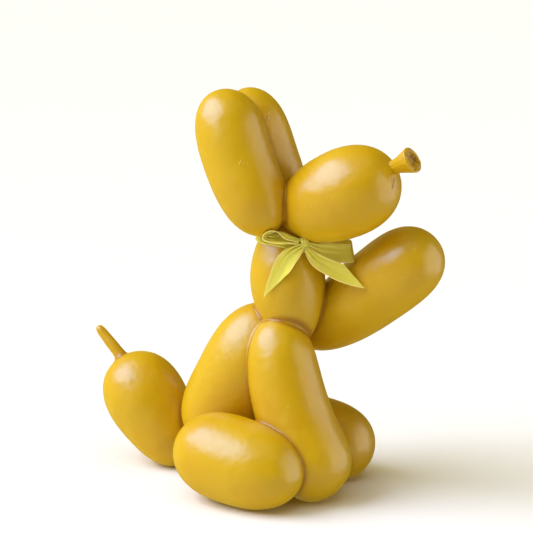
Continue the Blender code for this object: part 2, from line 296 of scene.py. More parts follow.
def viewAxes():
    turn, rise = (math.radians(angle) for angle in viewer["angles"])
    back = np.array((math.sin(turn) * math.cos(rise), -math.cos(turn) * math.cos(rise), math.sin(rise)))
    right = np.array((math.cos(turn), math.sin(turn), 0))
    return np.array((right, np.cross(back, right), back))


def pictureRay(across, down):
    middle = viewer["framePixels"] / 2
    right, up, back = viewAxes()
    ray = right * (across - middle) - up * (down - middle) - back * viewer["focalPixels"]
    return Vector(np.array(viewer["target"]) + back * viewer["distance"]), Vector(ray).normalized()


def addMarks(look, skins):
    tree = look.node_tree
    shader = tree.nodes["Principled BSDF"].inputs
    tone, slope = shader["Base Color"].links[0].from_socket, shader["Normal"].links[0].from_socket
    where = addNode(tree, "ShaderNodeTexCoord").outputs["Object"]
    ragged = addNode(tree, "ShaderNodeTexNoise", {"Vector": where, "Scale": marking["raggedScale"]})
    stray = vectorCalc(tree, "SUBTRACT", ragged.outputs["Color"], (0.5, 0.5, 0.5))
    where = vectorCalc(tree, "ADD", where, scaled(tree, stray, marking["raggedness"]))
    hollow = 0.0
    for first, second, radius, dark, depth in marks:
        ends = []
        for pixel in (first, second):
            hits = [skin.ray_cast(*pictureRay(*pixel)) for skin in skins]
            ends.append(min((hit for hit in hits if hit[0]), key=lambda hit: hit[3])[0])
        along = ends[1] - ends[0]
        offset = vectorCalc(tree, "SUBTRACT", where, ends[0])
        share = dotProduct(tree, offset, along / along.length_squared)
        share = calc(tree, "MINIMUM", calc(tree, "MAXIMUM", share, 0.0), 1.0)
        gap = vectorCalc(tree, "SUBTRACT", offset, scaled(tree, along, share))
        distance = addNode(tree, "ShaderNodeVectorMath", {0: gap}, operation="LENGTH").outputs["Value"]
        mask = stretch(tree, distance, radius, radius * marking["core"])
        # dark marks in the dent and the mouth are painted shade and pale ones there painted highlights; the
        # ears' are scratches
        wearAndShadeTone = paint["mark"] if dark > 0 else paint["pale"]
        tone = mixColour(tree, calc(tree, "MULTIPLY", mask, abs(dark)), tone, wearAndShadeTone)
        hollow = calc(tree, "ADD", hollow, calc(tree, "MULTIPLY", mask, -depth))
    tree.links.new(tone, shader["Base Color"])
    millimetres = calc(tree, "MULTIPLY", hollow, 1000)
    tree.links.new(bump(tree, millimetres, 0.001, slope), shader["Normal"])


def satinPaint():
    made, tree, shader = newMaterial("satinPaint")
    where = addNode(tree, "ShaderNodeTexCoord").outputs["Object"]
    scale, start, full = paint["clouds"]
    clouds = stretch(tree, noise(tree, where, scale, 3.0), start, full)
    tone = mixColour(tree, clouds, paint["deep"], paint["bright"])
    scale, start, full, strength = paint["specks"]
    specks = stretch(tree, noise(tree, where, scale, 1.0), start, full)
    tone = mixColour(tree, calc(tree, "MULTIPLY", specks, strength), tone, paint["pale"])
    # painted shade: the crease attribute darkens the paint in the creases between bubbles and in the tied
    # mouth
    crease = addNode(tree, "ShaderNodeAttribute", attribute_name="crease").outputs["Fac"]
    creaseShade = calc(tree, "MULTIPLY", crease, paint["creaseShadeStrength"])
    tone = mixColour(tree, creaseShade, tone, paint["crease"])
    tree.links.new(tone, shader["Base Color"])
    gloss = noise(tree, where, paint["glossScale"], 4.0)
    tree.links.new(stretch(tree, gloss, *noiseSpread, *paint["roughness"]), shader["Roughness"])
    scale, depth = paint["waves"]
    uneven = bump(tree, noise(tree, where, scale, 2.0), depth)
    scale, depth = paint["grain"]
    tree.links.new(bump(tree, noise(tree, where, scale, 3.0, 0.6), depth, uneven), shader["Normal"])
    weight, roughness = paint["coat"]
    setShader(shader, {"Coat Weight": weight, "Coat Roughness": roughness})
    return made


def lemonCloth():
    made, tree, shader = newMaterial("lemonCloth")
    where = addNode(tree, "ShaderNodeUVMap", uv_map="clothMap").outputs[0]
    parts = addNode(tree, "ShaderNodeSeparateXYZ", {0: where}).outputs
    turn = cloth["threadsPerMetre"] * math.pi
    warp = calc(tree, "SINE", calc(tree, "MULTIPLY", parts[0], turn))
    weft = calc(tree, "SINE", calc(tree, "MULTIPLY", parts[1], turn))
    weave = calc(tree, "MULTIPLY", warp, weft)
    streaks = noise(tree, vectorCalc(tree, "MULTIPLY", where, cloth["streaks"]), 1.0, 3.0)
    tone = mixColour(tree, stretch(tree, streaks, *noiseSpread), cloth["deep"], cloth["bright"])
    tree.links.new(tone, shader["Base Color"])
    raised = calc(tree, "ADD", calc(tree, "MULTIPLY", weave, cloth["weaveShare"]), streaks)
    tree.links.new(bump(tree, raised, cloth["relief"]), shader["Normal"])
    sheen, sheenRoughness = cloth["sheen"]
    glow, radius, scale = cloth["glow"]
    setShader(shader, {
        "Roughness": cloth["roughness"], "Specular IOR Level": cloth["gloss"],
        "Sheen Weight": sheen, "Sheen Roughness": sheenRoughness,
        "Subsurface Weight": glow, "Subsurface Radius": radius, "Subsurface Scale": scale,
    })
    return made


def edgeThreadLook():
    made, tree, shader = newMaterial("edgeThread")
    where = addNode(tree, "ShaderNodeTexCoord").outputs["Object"]
    scale, start, full = thread["fibres"]
    fibres = noise(tree, where, scale, 2.0)
    tone = mixColour(tree, stretch(tree, fibres, start, full), cloth["bright"], thread["colour"])
    tree.links.new(tone, shader["Base Color"])
    tree.links.new(bump(tree, fibres, thread["relief"]), shader["Normal"])
    sheen, sheenRoughness = thread["sheen"]
    setShader(shader, {
        "Roughness": thread["roughness"], "Specular IOR Level": thread["gloss"],
        "Sheen Weight": sheen, "Sheen Roughness": sheenRoughness,
    })
    return made


# Bubbles

def bubbleTree():
    inputs = [(label, "Vector") for label in ("Start", "End", "Bend")]
    inputs += [(label, "Float") for label in ("Radius", "Fullness", "Swell")]
    inputs += [("Sides", "Int"), ("Rings", "Int"), ("Paint", "Material")]
    tree, given, result = newTree("balloonBubble", inputs)
    line = addNode(tree, "GeometryNodeCurvePrimitiveLine")
    count = calc(tree, "ADD", given["Rings"], 1)
    points = addNode(tree, "GeometryNodeResampleCurve", {"Curve": line.outputs[0], "Count": count})
    index = addNode(tree, "GeometryNodeInputIndex").outputs[0]
    turn = calc(tree, "MULTIPLY", calc(tree, "DIVIDE", index, given["Rings"]), math.pi)
    along = calc(tree, "MULTIPLY", calc(tree, "SUBTRACT", 1, calc(tree, "COSINE", turn)), 0.5)
    middle = calc(tree, "SUBTRACT", calc(tree, "MULTIPLY", along, 2), 1)
    bulge = calc(tree, "SUBTRACT", 1, calc(tree, "MULTIPLY", middle, middle))
    span = scaled(tree, vectorCalc(tree, "SUBTRACT", given["End"], given["Start"]), along)
    straight = vectorCalc(tree, "ADD", given["Start"], span)
    place = vectorCalc(tree, "ADD", straight, scaled(tree, given["Bend"], bulge))
    moved = addNode(tree, "GeometryNodeSetPosition", {"Geometry": points.outputs[0], "Position": place})
    roundness = calc(tree, "POWER", calc(tree, "ABSOLUTE", middle), given["Fullness"])
    roundness = calc(tree, "SQRT", calc(tree, "MAXIMUM", calc(tree, "SUBTRACT", 1, roundness), 0.0))
    thicker = calc(tree, "ADD", calc(tree, "MULTIPLY", given["Swell"], middle), 1)
    size = calc(tree, "MULTIPLY", calc(tree, "MULTIPLY", given["Radius"], roundness), thicker)
    values = {"Resolution": given["Sides"], "Radius": 1.0}
    ring = addNode(tree, "GeometryNodeCurvePrimitiveCircle", values)
    values = {"Curve": moved.outputs[0], "Profile Curve": ring.outputs[0], "Scale": size}
    skin = addNode(tree, "GeometryNodeCurveToMesh", values)
    values = {"Geometry": skin.outputs[0], "Distance": figure["poleGap"]}
    closed = addNode(tree, "GeometryNodeMergeByDistance", values)
    endTree(tree, closed.outputs[0], given["Paint"], result)
    return tree


def makeBubble(name, shape, tree, look):
    start, end, bend, radius, fullness, swell = shape
    item = newObject(name, bpy.data.meshes.new(name))
    height = figure["height"]
    runTree(item, tree, {
        "Start": Vector(start) * height, "End": Vector(end) * height, "Bend": Vector(bend) * height,
        "Radius": radius * height, "Fullness": float(fullness), "Swell": float(swell),
        "Sides": figure["sides"], "Rings": figure["rings"], "Paint": look,
    })
    return item


def joinMeshes(name, items):
    joined = bmesh.new()
    for item in items:
        joined.from_mesh(item.data)
        bpy.data.objects.remove(item, do_unlink=True)
    mesh = bpy.data.meshes.new(name)
    joined.to_mesh(mesh)
    joined.free()
    return newObject(name, mesh)


def points(item):
    found = np.empty(len(item.data.vertices) * 3)
    item.data.vertices.foreach_get("co", found)
    return found.reshape(-1, 3)


def movePoints(item, places):
    item.data.vertices.foreach_set("co", np.ascontiguousarray(places, dtype=np.float32).ravel())
    item.data.update()


def skinOf(item):
    places = [vertex.co for vertex in item.data.vertices]
    return BVHTree.FromPolygons(places, [tuple(face.vertices) for face in item.data.polygons])


def addPaintedShade(item, shades):
    # stores painted shade in the crease attribute, which the paint reads
    layer = item.data.attributes.new("crease", "FLOAT", "POINT")
    layer.data.foreach_set("value", shades.astype(np.float32))


def skinSize(shape, along):
    radius, fullness, swell = shape[3:]
    middle = 2 * along - 1
    roundness = np.sqrt(np.maximum(1 - np.abs(middle) ** fullness, 0))
    return radius * figure["height"] * roundness * (1 + swell * middle)


def distanceTo(shape, places):
    # how far each place is from one bubble's skin, whose bend is taken out first
    start, end, bend = (np.array(vector) * figure["height"] for vector in shape[:3])
    axis = end - start
    length = np.linalg.norm(axis)
    along = (places - start) @ axis / length ** 2
    for _ in range(figure["straightening"]):
        inside = np.clip(along, 0, 1)
        straight = places - bend * (4 * inside * (1 - inside))[:, None]
        along = (straight - start) @ axis / length ** 2
    away = np.linalg.norm(straight - start - axis * along[:, None], axis=1)
    along = along * length
    levels = (1 - np.cos(np.linspace(0, math.pi, figure["profileSteps"] + 1))) / 2
    profile = np.array((levels * length, skinSize(shape, levels))).T
    nearest = np.full(len(places), np.inf)
    for (first, low), (last, high) in zip(profile, profile[1:]):
        run, rise = last - first, high - low
        part = np.clip(((along - first) * run + (away - low) * rise) / (run ** 2 + rise ** 2), 0, 1)
        nearest = np.minimum(nearest, np.hypot(along - first - run * part, away - low - rise * part))
    return nearest


def creaseGaps(places):
    # how much further the second bubble's skin is than the nearest one's: nothing in a crease
    gaps = np.sort([distanceTo(shape, places) for shape in bubbles.values()], axis=0)
    return gaps[1] - gaps[0]


def fuse(item, original):
    remesh = item.modifiers.new("fuse", "REMESH")
    remesh.mode = "VOXEL"
    remesh.voxel_size = figure["voxel"] * 1
    smooth = item.modifiers.new("soften", "SMOOTH")
    smooth.factor, smooth.iterations = figure["softening"]
    settle(item)
    centre, reach = figure["tailFlare"]
    away = np.linalg.norm(points(item) / figure["height"] - centre, axis=1)
    flare = item.vertex_groups.new(name="flare")
    for index in np.flatnonzero(away < reach):
        flare.add([int(index)], float(1 - (away[index] / reach) ** 2), "REPLACE")
    local = item.modifiers.new("flare", "SMOOTH")
    local.factor, local.iterations = figure["flareSoftening"]
    local.vertex_group = "flare"
    count = triangleCount(item)
    if count > figure["triangles"]:
        decimate = item.modifiers.new("thin", "DECIMATE")
        decimate.ratio = figure["triangles"] / count
    settle(item)
    places = points(item)
    low, high = figure["creaseWidth"]
    share = np.clip((creaseGaps(places) - low) / (high - low), 0, 1)
    away = np.linalg.norm(places / figure["height"] - centre, axis=1)
    start, full = figure["flareFade"]
    share = share * np.clip((away / reach - start) / (full - start), 0, 1)
    for index in np.flatnonzero(share > 0):
        near = original.find_nearest(Vector(places[index]))[0]
        places[index] += (np.array(near) - places[index]) * share[index]
    places[:, 2] = np.maximum(places[:, 2], 0)
    movePoints(item, places)


def makeDog():
    look = satinPaint()
    tree = bubbleTree()
    parts = [makeBubble(name, shape, tree, look) for name, shape in bubbles.items()]
    dog = joinMeshes("balloonDog", parts)
    print("bubbles", len(dog.data.vertices))
    fuse(dog, skinOf(dog))
    # painted shade in the creases: the nearer a point is to one, the darker it is painted
    nearness = np.exp(-((creaseGaps(points(dog)) / figure["creaseShadeReach"]) ** 2))
    movePoints(dog, points(dog) + figure["origin"])
    addPaintedShade(dog, nearness)
    dog.data.materials.clear()
    dog.data.materials.append(look)
    dog.data.shade_smooth()
    print("fused dog", triangleCount(dog), "triangles")
    return dog


# The tied mouth of the balloon, in front of the snout

mouth = {
    "start": (0.382, 0.004, 0.818),  # shares of the height
    "tilts": (23, 29),  # of the stem and of the mouth, in degrees above level
    "turn": -7,  # degrees round from straight ahead
    "sides": 120,
    "profile": (  # distance along and radius in millimetres, out to the rim and back into the mouth
        (-1.2, 3.1), (0.8, 3.6), (1.9, 4.1), (2.8, 4.2), (3.7, 3.95),
        (5.0, 4.0), (7.6, 4.4), (10.4, 5.2), (13.2, 6.2), (15.3, 6.9),
        (16.4, 7.3), (17.1, 7.6), (17.7, 7.45), (17.9, 7.0), (17.7, 6.5),
        (16.9, 5.8), (16.2, 4.6), (15.9, 3.0), (15.8, 1.2),
    ),
    "profileSteps": 4,  # between two of these
    "stemWaves": ((6, 0.6, 0.00009), (15, 2.0, 0.000054)),  # round the stem: how many, where, how deep
    "stemShade": (0.8, 0.0002, 0.0007),  # painted shade at the joint with the snout, how far along, how wide
    "pleats": (3, 0.7, 0.0011),  # in the mouth: how many, how round, how deep
    "pleatLevel": -1.2,
    "pleatWaves": ((11, 1.3, 0.5),),  # finer ones on them
    "pleatEnd": (1.15, 0.003),  # they end this share earlier, and are shallower within this radius
    "twist": (1.3, ((2, 0.8, 0.5),)),  # how far the pleats turn towards the middle, and how unevenly
    "mouthShade": (0.1, 0.5, 1.1, 1.5),  # painted shade at the rim, more in the middle, more in pleats, at most
    # painted shade at the two ends: the stem's, hidden in the snout, and the middle of the mouth
    "endShades": (0.0, 0.6),
}


def ripples(turns, waves):
    # waves, each with how many there are, where and how high
    return sum(height * np.sin(count * turns + phase) for count, phase, height in waves)


def smoothProfile(rows, each):
    rows = np.array(rows, float)
    padded = np.vstack((2 * rows[0] - rows[1], rows, 2 * rows[-1] - rows[-2]))
    fine = []
    for index in range(1, len(padded) - 2):
        before, first, second, after = padded[index - 1:index + 3]
        for share in np.linspace(0, 1, each, endpoint=False):
            fine.append(0.5 * (
                2 * first + (second - before) * share
                + (2 * before - 5 * first + 4 * second - after) * share ** 2
                + (3 * first - before - 3 * second + after) * share ** 3
            ))
    return np.array([*fine, rows[-1]])


def gridFaces(rows, columns, closed=False):
    faces = []
    for row in range(rows - 1):
        for column in range(columns if closed else columns - 1):
            following = (column + 1) % columns
            here, there = row * columns, (row + 1) * columns
            faces.append((here + column, here + following, there + following, there + column))
    return faces


def outwardMesh(name, places, faces):
    mesh = newMesh(name, places, [], faces)
    turned = bmesh.new()
    turned.from_mesh(mesh)
    bmesh.ops.recalc_face_normals(turned, faces=turned.faces)
    turned.to_mesh(mesh)
    turned.free()
    return mesh


def stemRing(share, distance, radius, turns):
    # one ring of the stem: how wide it is, how far it stands off its plane and how much painted shade it
    # has
    fade = math.sqrt(math.sin(math.pi * share))
    sizes = radius + fade * ripples(turns, mouth["stemWaves"])
    strength, middle, width = mouth["stemShade"]
    shade = strength * math.exp(-((distance - middle) / width) ** 2)
    return sizes, np.zeros_like(turns), np.full_like(turns, shade)


def pleatedRing(share, radius, turns):
    # the same for a ring between the rim and the middle of the mouth
    twist, unevenness = mouth["twist"]
    swirl = turns + twist * share + ripples(turns, unevenness)
    count, roundness, depth = mouth["pleats"]
    folds = 2 * np.abs(np.sin(count * swirl)) ** roundness + mouth["pleatLevel"]
    folds = folds + ripples(swirl, mouth["pleatWaves"])
    early, shallow = mouth["pleatEnd"]
    deep = math.sin(math.pi * min(share * early, 1)) * min(1, radius / shallow)
    rimShade, middleShade, pleatShade, most = mouth["mouthShade"]
    shade = np.clip(rimShade + middleShade * share - folds * pleatShade * deep, 0, most)
    return np.full_like(turns, radius), depth * deep * folds, shade


def makeMouth(look):
    turned = math.radians(mouth["turn"])
    level = np.array((math.cos(turned), math.sin(turned), 0))
    beside = np.array((-math.sin(turned), math.cos(turned), 0))
    start = np.array(mouth["start"]) * figure["height"] + figure["origin"]
    rows = smoothProfile(mouth["profile"], mouth["profileSteps"]) / 1000
    tilts = np.radians(np.interp(rows[:, 0], (0, rows[:, 0].max()), mouth["tilts"]))
    stemTilt = math.radians(mouth["tilts"][0])
    ahead = level * math.cos(stemTilt) + np.array((0, 0, math.sin(stemTilt)))
    turns = np.arange(mouth["sides"]) / mouth["sides"] * 2 * math.pi
    rim = int(np.argmax(rows[:, 0]))
    places, shades = [], []
    for index, (distance, radius) in enumerate(rows):
        if index <= rim:
            sizes, offsets, shade = stemRing(index / rim, distance, radius, turns)
        else:
            inside = (index - rim) / (len(rows) - 1 - rim)
            sizes, offsets, shade = pleatedRing(inside, radius, turns)
        facing = level * math.cos(tilts[index]) + np.array((0, 0, math.sin(tilts[index])))
        above = np.cross(facing, beside)
        ring = start + ahead * distance + np.outer(offsets, facing)
        ring = ring + np.outer(np.cos(turns) * sizes, above) + np.outer(np.sin(turns) * sizes, beside)
        places.append(ring)
        shades.append(shade)
    rings = len(places)
    places = np.vstack((*places, start + ahead * rows[0, 0], start + ahead * rows[-1, 0]))
    shades = np.concatenate((*shades, mouth["endShades"]))
    faces = gridFaces(rings, mouth["sides"], closed=True)
    last = (rings - 1) * mouth["sides"]
    for side in range(mouth["sides"]):
        following = (side + 1) % mouth["sides"]
        faces.append((len(places) - 2, following, side))
        faces.append((len(places) - 1, last + side, last + following))
    item = newObject("tiedMouth", outwardMesh("tiedMouth", places, faces))
    addPaintedShade(item, shades)
    item.data.materials.append(look)
    item.data.shade_smooth()
    print("tied mouth", len(faces), "faces")
    return item


# The ribbon. Each row of a strip holds its two edges, in millimetres from the knot to the viewer's
# right, up and towards the viewer, then how much the strip is pleated and how deep it is hollowed

ribbon = {
    "width": 0.015,
    "length": 0.31,
    "thickness": 0.0003,
    "knot": (0.0365, 0.0003, 0.1483),  # where it is tied
    "bowAngle": -34,  # degrees round the neck from the nose
    "gap": 0.0005,  # to the casting
    "columns": 24,
    "rowSteps": 24,  # between two rows of a strip, before it is divided evenly
    "stepLength": 0.0005,
    "hollowing": 1.4,  # how full a hollow is
    "pleats": ((2.5 * math.pi, 0.4, 1.0), (11, 1.9, 0.4)),  # radians from middle to edge, where, how high
    "pleatDepth": 0.0010,
    "pleatEnds": 8,  # how near to the edges the pleats go on
    "edgeRadius": 0.00027,
    "edgeSides": 8,
    "mapShift": 0.0001,  # moves the weave along from one strip to the next
}

collar = {
    "sections": 180,
    "levels": (0.138, 0.158, 48),  # where the crease under the head is looked for: from, to, steps
    "reach": 0.016,  # from the neck's axis, where no skin is met
    "evening": 14,  # sections to each side over which its height is evened out
    "height": (0.0033, 0.0009),  # half its height, and how far its middle is under the crease
    "spread": 0.0008,  # how far out its upper half may follow the head
    "folds": (4.6, 0.0016),  # how many, how deep
    "foldDrift": ((3, 0, 0.6), (7, 0, 0.4)),  # how they wander round the neck
    "edgeFolds": (0.5, 6),  # how much shallower they are at the edges, and how near to them
    "wrinkles": (0.00018, 5, 4),  # how deep, how many round the neck, how slanted
}

knot = {
    "size": (0.0026, 0.0046),  # radius, and length along the bow
    "steps": 72,
    "overlap": (0.5, 0.4),  # radians by which it starts before a full turn and ends after it
    "rounding": (0.38, 2.4),  # how much lower its edges are, and how late they fall
    "ripples": (0.07, 10, 1.2, 0.5),  # how high, how many, how they wander round it, where
    "winding": 0.02,  # how much it grows with each radian of the wrap
    "slant": (0.22, 0.8),  # how far it slides along the bow round the wrap, and from where
    "flatness": 1.25,  # how many times higher than deep it is
}

rightLoop = (
    (1.8, 1.8, -1.5, 1.8, -1.8, -1.0, 1.0, 0),
    (8.8, 2.4, -6.8, 9.4, -5.3, -5.4, 0.6, 0),
    (18.8, 2.8, -12.5, 19.4, -8.5, -11.0, 0.2, 0),
    (26.4, 2.6, -14.6, 27.6, -9.4, -12.6, 0.0, 0),
    (28.6, 1.2, -12.4, 30.0, -9.3, -9.8, 0.0, 0.3),
    (26.9, -0.4, -8.6, 28.6, -10.6, -6.0, 0.0, 0.7),
    (18.8, 0.0, -6.4, 20.6, -10.6, -4.4, 0.1, 0.7),
    (10.0, 0.2, -3.2, 11.8, -8.0, -2.2, 0.4, 0.5),
    (2.6, 0.9, 0.3, 2.2, -2.2, 0.8, 1.0, 0),
)
leftLoop = (
    (-2.4, 2.2, 0.4, -2.4, 0.8, 1.4, 1.0, 0),
    (-4.9, 3.4, 1.4, -5.6, 1.5, 3.6, 0.8, 0),
    (-7.8, 4.8, 1.8, -8.4, 2.0, 5.4, 0.5, 0),
    (-10.8, 6.1, 2.0, -10.8, 2.8, 6.6, 0.3, 0),
    (-13.3, 6.7, 2.0, -12.6, 4.6, 7.4, 0.1, 0),
    (-15.6, 6.8, 2.0, -14.5, 6.4, 7.8, 0, 0),
    (-17.9, 6.4, 2.0, -17.5, 7.1, 8.0, 0, 0),
    (-19.8, 5.6, 2.2, -20.1, 6.7, 8.0, 0, 0),
    (-21.1, 4.3, 2.4, -22.2, 5.2, 7.8, 0, 0),
    (-21.3, 3.0, 2.8, -23.1, 3.5, 7.8, 0, 0),
    (-20.0, 2.1, 3.0, -22.2, 1.7, 8.2, 0, 0),
    (-17.4, 1.7, 3.0, -19.2, 0.6, 8.6, 0, 0),
    (-14.4, 1.5, 2.8, -15.6, -0.1, 8.4, 0.1, 0),
    (-11.2, 1.3, 2.4, -12.0, -0.2, 7.4, 0.3, 0),
    (-7.8, 1.2, 1.8, -8.4, 0.1, 5.6, 0.6, 0),
    (-2.4, 0.8, 0.8, -2.4, -0.4, 1.8, 1.0, 0),
)
rightTail = (
    (2.1, -2.0, 0.8, 1.0, -3.0, 1.0, 1.0, 0),
    (5.9, -4.3, 0.6, 2.6, -7.9, 2.2, 0.7, 0.5),
    (9.4, -6.3, -0.2, 5.9, -12.9, 2.4, 0.35, 1.3),
    (12.9, -8.0, -0.8, 11.2, -16.5, 2.4, 0.15, 1.6),
    (16.5, -9.4, -1.2, 18.8, -20.7, 2.2, 0.05, 1.5),
    (20.0, -10.7, -1.3, 26.8, -23.6, 2.4, 0.0, 1.0),
    (23.8, -12.2, -1.0, 35.1, -25.4, 3.0, 0.0, 0.5),
)
leftTail = (
    (-1.2, -0.3, 1.8, 0.8, -2.4, 1.5, 1.0, 0),
    (-8.8, -2.6, 3.2, -1.2, -5.9, 3.2, 0.7, 0.6),
    (-14.1, -7.4, 2.8, -2.9, -8.8, 4.0, 0.35, 1.1),
    (-17.1, -13.2, 2.0, -4.4, -11.0, 4.2, 0.15, 1.4),
    (-18.8, -18.5, 1.0, -5.6, -13.0, 4.2, 0.05, 1.4),
    (-20.6, -23.8, -0.2, -7.1, -15.3, 4.0, 0.0, 1.1),
    (-22.2, -30.6, -1.6, -8.8, -17.4, 3.6, 0.0, 0.6),
)


def bowAxes():
    turn = math.radians(ribbon["bowAngle"])
    ahead = (math.cos(turn), math.sin(turn), 0)
    return np.array(((-math.sin(turn), math.cos(turn), 0), (0, 0, 1), ahead))


def clearOf(skin, place, gap):
    near, normal, _, distance = skin.find_nearest(Vector(place))
    if distance < gap or (Vector(place) - near).dot(normal) < 0:
        return np.array(near + normal * gap)
    return place


def evenRows(rows):
    fine = smoothProfile(rows, ribbon["rowSteps"])
    middles = (fine[:, 0:3] + fine[:, 3:6]) / 2
    lengths = np.concatenate(([0], np.cumsum(np.linalg.norm(np.diff(middles, axis=0), axis=1))))
    steps = int(lengths[-1] / 1000 / ribbon["stepLength"])
    at = np.linspace(0, lengths[-1], steps + 1)
    return np.array([np.interp(at, lengths, column) for column in fine.T]).T


def stripGrid(rows, skin):
    rows = evenRows(rows)
    shares = np.linspace(0, 1, ribbon["columns"] + 1)[None, :, None]
    grid = (rows[:, None, 0:3] * (1 - shares) + rows[:, None, 3:6] * shares) / 1000
    sides = shares[..., 0] * 2 - 1
    grid[:, :, 2] -= rows[:, 7:8] / 1000 * (1 - np.abs(sides) ** ribbon["hollowing"])
    ahead = np.gradient(grid, axis=0)
    outward = np.cross(ahead, rows[:, None, 3:6] - rows[:, None, 0:3])
    outward /= np.linalg.norm(outward, axis=2)[..., None]
    wave = sum(height * np.cos(sides * count + phase) for count, phase, height in ribbon["pleats"])
    wave = wave * (1 - sides ** ribbon["pleatEnds"]) * rows[:, 6:7] * ribbon["pleatDepth"]
    grid = np.array(ribbon["knot"]) + (grid + outward * wave[..., None]) @ viewAxes()
    for row in grid:
        for column, place in enumerate(row):
            row[column] = clearOf(skin, place, ribbon["gap"])
    return grid


def neckReach(skin, axis, outward):
    # how far the skin is from a place on the neck's axis
    return skin.ray_cast(Vector(axis), Vector(outward))[3] or collar["reach"]


def collarFold(share, turn, drift):
    # how far the ribbon stands off the neck at a share of its half width
    count, depth = collar["folds"]
    shallower, nearness = collar["edgeFolds"]
    height, number, slant = collar["wrinkles"]
    fold = 0.5 * (1 + math.cos(share * count * math.pi + drift))
    wrinkle = height * (1 + math.sin(number * turn + slant * share))
    return fold * depth * (1 - shallower * share ** nearness) + wrinkle


def collarGrid(skin):
    # the ribbon round the neck, bunched up under the head
    sections, levels = collar["sections"], np.linspace(*collar["levels"])
    centre = np.array(bubbles["neck"][1]) * figure["height"] + figure["origin"]
    turns = np.arange(sections) / sections * 2 * math.pi
    outwards = [np.array((math.cos(turn), math.sin(turn), 0)) for turn in turns]
    reach = np.array([
        [neckReach(skin, (*centre[:2], level), outward) for level in levels] for outward in outwards
    ])
    crease = levels[np.argmin(reach, axis=1)]
    around = np.arange(sections)[:, None] + np.arange(-collar["evening"], collar["evening"] + 1)
    for evenOut in (np.min, np.mean):
        crease = evenOut(crease[around % sections], axis=1)
    half, under = collar["height"]
    columns = np.linspace(-1, 1, ribbon["columns"] + 1)
    grid = np.empty((sections + 1, len(columns), 3))
    for index, turn in enumerate(turns):
        waist = reach[index].min()
        drift = ripples(turn, collar["foldDrift"])
        for column, share in enumerate(columns):
            axis = np.array((*centre[:2], crease[index] - under + share * half))
            hit = neckReach(skin, axis, outwards[index])
            if share > 0:
                hit = min(hit, waist + collar["spread"])
            away = hit + ribbon["gap"] + collarFold(share, turn, drift)
            grid[index, column] = clearOf(skin, axis + outwards[index] * away, ribbon["gap"])
    grid[-1] = grid[0]
    return grid


def knotGrid():
    # a short stretch wrapped round the bunched middle of the bow
    radius, length = knot["size"]
    before, after = knot["overlap"]
    lower, late = knot["rounding"]
    height, count, wander, phase = knot["ripples"]
    slant, slantPhase = knot["slant"]
    axes = bowAxes()
    columns = np.linspace(-1, 1, ribbon["columns"] + 1)
    grid = np.empty((knot["steps"] + 1, len(columns), 3))
    for step, turn in enumerate(np.linspace(-before, 2 * math.pi + after, knot["steps"] + 1)):
        for column, share in enumerate(columns):
            lift = 1 - lower * abs(share) ** late
            lift = lift + height * math.cos(share * count + wander * math.sin(turn) + phase)
            size = radius * (lift + knot["winding"] * (turn + before))
            slide = share * length / 2 + slant * radius * math.sin(turn + slantPhase)
            offset = np.array((slide, math.cos(turn) * size * knot["flatness"], math.sin(turn) * size))
            grid[step, column] = np.array(ribbon["knot"]) + offset @ axes
    return grid


def layCloth(name, grids, look):
    places, faces, flatPlaces = [], [], []
    for grid in grids:
        rows, columns = grid.shape[:2]
        first = len(places)
        lengths = np.linalg.norm(np.diff(grid, axis=0), axis=2).cumsum(axis=0)
        along = np.vstack((np.zeros(columns), lengths)) + first * ribbon["mapShift"]
        sideways = np.linspace(0, ribbon["width"], columns)
        places.extend(grid.reshape(-1, 3))
        flatPlaces.extend((side, ahead) for row in along for side, ahead in zip(sideways, row))
        faces.extend(tuple(first + corner for corner in face) for face in gridFaces(rows, columns))
    mesh = newMesh(name, places, [], faces)
    layer = mesh.uv_layers.new(name="clothMap")
    for loop in mesh.loops:
        layer.data[loop.index].uv = flatPlaces[loop.vertex_index]
    item = newObject(name, mesh)
    thick = item.modifiers.new("thickness", "SOLIDIFY")
    thick.thickness = ribbon["thickness"]
    thick.offset = 0
    item.data.materials.append(look)
    item.data.shade_smooth()
    settle(item)
    return item


def threadTree():
    inputs = [("Radius", "Float"), ("Sides", "Int"), ("Thread", "Material")]
    tree, given, result = newTree("edgeThread", inputs)
    route = addNode(tree, "GeometryNodeMeshToCurve", {"Mesh": given["Geometry"]})
    values = {"Resolution": given["Sides"], "Radius": given["Radius"]}
    ring = addNode(tree, "GeometryNodeCurvePrimitiveCircle", values)
    values = {"Curve": route.outputs[0], "Profile Curve": ring.outputs[0], "Fill Caps": True}
    cord = addNode(tree, "GeometryNodeCurveToMesh", values)
    smooth = addNode(tree, "GeometryNodeSetShadeSmooth", {"Geometry": cord.outputs[0]})
    endTree(tree, smooth.outputs[0], given["Thread"], result)
    return tree


def makeEdges(name, grids, look):
    places, edges = [], []
    for grid in grids:
        for side in (0, -1):
            first = len(places)
            places.extend(grid[:, side])
            edges.extend((index, index + 1) for index in range(first, len(places) - 1))
    item = newObject(name, newMesh(name, places, edges, []))
    values = {"Radius": ribbon["edgeRadius"], "Sides": ribbon["edgeSides"], "Thread": look}
    runTree(item, threadTree(), values)
    return item


